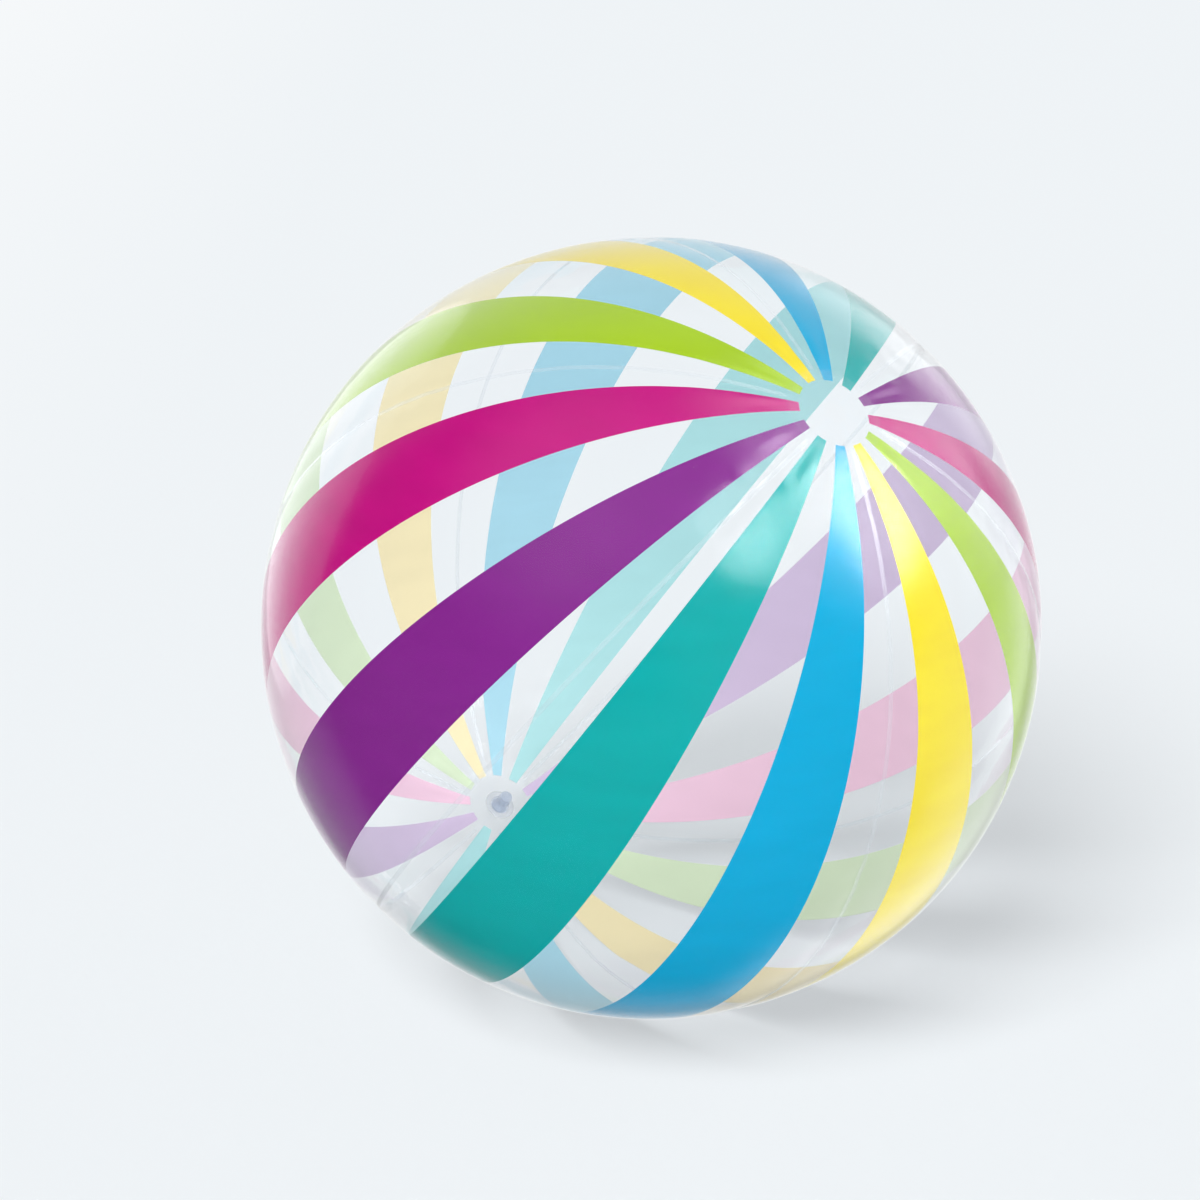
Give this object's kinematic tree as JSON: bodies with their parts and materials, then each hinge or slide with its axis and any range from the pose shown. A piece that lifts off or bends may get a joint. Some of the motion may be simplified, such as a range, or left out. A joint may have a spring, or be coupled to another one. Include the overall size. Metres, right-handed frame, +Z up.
{
  "type": "inflatable beach ball",
  "caption": "Large inflatable beach ball of clear vinyl gores with coloured pole-to-pole stripes, clear end discs and a push-in valve with a tethered plug.",
  "frame": {"origin": "middle of the flat patch that the ball rests on, directly under the ball's centre", "axes": "+Z up, away from the floor; the line between the poles lies in the YZ plane and leans 43 degrees from +Z, with the closed pole up towards -Y and the valve pole low towards +Y"},
  "size_m": [0.6798, 0.6798, 0.6769],
  "materials": {
    "clear_film": "glossy clear vinyl sheet",
    "clear_disc": "glossy, faintly milky vinyl sheet",
    "valve_vinyl": "soft glossy bluish vinyl moulding",
    "ink_purple": "glossy print seen through clear sheet",
    "ink_teal": "glossy print seen through clear sheet",
    "ink_blue": "glossy print seen through clear sheet",
    "ink_yellow": "glossy print seen through clear sheet",
    "ink_green": "glossy print seen through clear sheet",
    "ink_magenta": "glossy print seen through clear sheet"
  },
  "bodies": {
    "envelope": {"gore_panel_1": "clear_film", "gore_panel_2": "clear_film", "gore_panel_3": "clear_film", "gore_panel_4": "clear_film", "gore_panel_5": "clear_film", "gore_panel_6": "clear_film", "stripe_purple_1": "ink_purple", "stripe_teal_1": "ink_teal", "stripe_blue_1": "ink_blue", "stripe_yellow_1": "ink_yellow", "stripe_green_1": "ink_green", "stripe_magenta_1": "ink_magenta", "stripe_purple_2": "ink_purple", "stripe_teal_2": "ink_teal", "stripe_blue_2": "ink_blue", "stripe_yellow_2": "ink_yellow", "stripe_green_2": "ink_green", "stripe_magenta_2": "ink_magenta", "closed_end_disc": "clear_disc", "valve_end_disc": "clear_disc", "valve_flange": "valve_vinyl", "valve_diaphragm": "valve_vinyl"},
    "stem": {"valve_stem": "valve_vinyl", "plug_tether": "valve_vinyl"},
    "plug": {"valve_plug": "valve_vinyl"},
    "flap": {"check_flap": "valve_vinyl"}
  },
  "joints": [
    {"name": "stem_slide", "type": "slide", "parent": "envelope", "child": "stem", "axis": [0, 0.682, -0.7314], "range_m": [0, 0.016], "deforming": ["valve_diaphragm"]},
    {"name": "plug_hinge", "type": "hinge", "parent": "stem", "child": "plug", "pos_m": [0.0112, 0.23324, 0.08688], "axis": [0, -0.7314, -0.682], "range_deg": [0, 150]},
    {"name": "flap_hinge", "type": "hinge", "parent": "stem", "child": "flap", "pos_m": [0.0052, 0.21984, 0.10125], "axis": [0, 0.7314, 0.682], "range_deg": [0, 60], "stiffness_Nm_per_rad": 0.0004}
  ]
}
